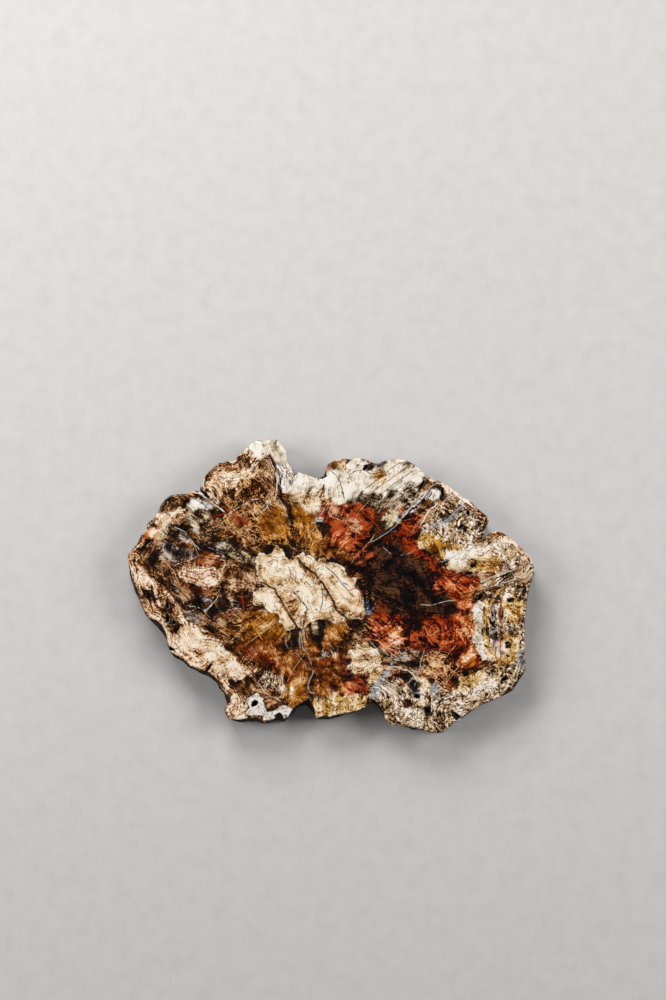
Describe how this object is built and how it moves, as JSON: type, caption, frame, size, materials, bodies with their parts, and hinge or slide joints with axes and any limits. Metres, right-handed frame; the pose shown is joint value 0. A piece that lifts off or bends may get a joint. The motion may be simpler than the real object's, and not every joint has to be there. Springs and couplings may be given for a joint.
{
  "type": "petrified wood slice",
  "caption": "Flat slice cut across a petrified log, with a polished, richly figured face, a notched and weathered rim and a sawn flat back to lie on.",
  "frame": {"origin": "centre of the slice's bounding box, at the surface it lies on", "axes": "+X along the slice's longest extent, to the right in the picture; +Y up in the picture; +Z out of the polished face"},
  "size_m": [0.4062, 0.294, 0.03],
  "materials": {
    "petrified_wood": "polished face, weathered rim, sawn back"
  },
  "bodies": {
    "root": {"petrified_wood_slice": "petrified_wood"}
  },
  "joints": []
}
